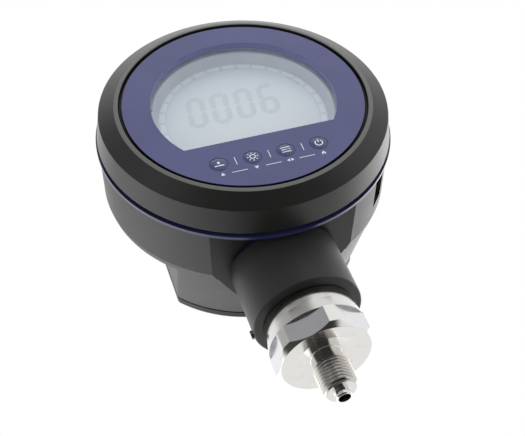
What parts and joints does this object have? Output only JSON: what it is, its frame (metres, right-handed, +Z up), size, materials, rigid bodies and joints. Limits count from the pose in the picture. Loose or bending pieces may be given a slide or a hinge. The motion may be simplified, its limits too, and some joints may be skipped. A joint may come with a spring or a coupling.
{
  "type": "digital pressure gauge",
  "caption": "Digital pressure gauge with a round bevelled face, display window, push keys, battery hump at the back and a turning steel pressure connection below.",
  "frame": {"origin": "on the neck axis, at the front face of the spanner flats, where the threaded stub begins", "axes": "+Z up the neck axis from the connection to the case, display facing -Y, +X to the right of the display"},
  "size_m": [0.112, 0.071, 0.1675],
  "materials": {
    "connection_steel": "turned stainless steel",
    "sensor_steel": "ground",
    "spring_steel": "blackened",
    "screw_steel": "zinc plated",
    "contact_metal": "nickel plated",
    "case_paint": "satin navy paint on a light alloy casting",
    "cover_plastic": "fine moulded grain",
    "bezel_plastic": "smooth satin",
    "face_blue": "smooth",
    "key_blue": "smooth, with white printed sign",
    "window_clear": "clear",
    "display_glass": "liquid crystal glass over a light reflector",
    "frame_grey": "smooth",
    "light_guide": "clear white",
    "carrier_plastic": "moulded",
    "seal_rubber": "matt",
    "bearing_plastic": "natural",
    "board_laminate": "solder mask",
    "switch_black": "moulded",
    "lead_jacket": "smooth",
    "cell_jacket": "plain wrapped"
  },
  "bodies": {
    "connection": {"process_fitting": "connection_steel", "sensor_cell": "sensor_steel", "stem_o_ring": "seal_rubber", "retaining_ring": "spring_steel"},
    "housing": {"battery_cell_1": "cell_jacket", "battery_cell_2": "cell_jacket", "battery_lid": "cover_plastic", "board_screws": "screw_steel", "bridge_contact": "contact_metal", "case_gasket": "seal_rubber", "display_frame": "frame_grey", "display_window": "window_clear", "face_carrier": "carrier_plastic", "face_seal": "seal_rubber", "front_bezel": "bezel_plastic", "front_overlay": "face_blue", "key_switches": "switch_black", "lcd_backlight": "light_guide", "lcd_contact_strip": "seal_rubber", "lcd_panel": "display_glass", "lid_gasket": "seal_rubber", "lid_screws": "screw_steel", "main_board": "board_laminate", "main_case": "case_paint", "rear_cover": "cover_plastic", "sensor_lead": "lead_jacket", "sensor_socket": "switch_black", "stop_screw": "spring_steel", "swivel_bush": "bearing_plastic", "terminal_contacts": "contact_metal"},
    "zero_key": {"key_zero": "key_blue"},
    "light_key": {"key_light": "key_blue"},
    "menu_key": {"key_menu": "key_blue"},
    "power_key": {"key_power": "key_blue"}
  },
  "joints": [
    {"name": "case_swivel", "type": "hinge", "parent": "connection", "child": "housing", "pos_m": [0, 0, 0], "axis": [0, 0, 1], "range_deg": [-165, 165]},
    {"name": "zero_key_press", "type": "slide", "parent": "housing", "child": "zero_key", "axis": [0, 1, 0], "range_m": [0, 0.0006], "stiffness_N_per_m": 300},
    {"name": "light_key_press", "type": "slide", "parent": "housing", "child": "light_key", "axis": [0, 1, 0], "range_m": [0, 0.0006], "stiffness_N_per_m": 300},
    {"name": "menu_key_press", "type": "slide", "parent": "housing", "child": "menu_key", "axis": [0, 1, 0], "range_m": [0, 0.0006], "stiffness_N_per_m": 300},
    {"name": "power_key_press", "type": "slide", "parent": "housing", "child": "power_key", "axis": [0, 1, 0], "range_m": [0, 0.0006], "stiffness_N_per_m": 300}
  ]
}
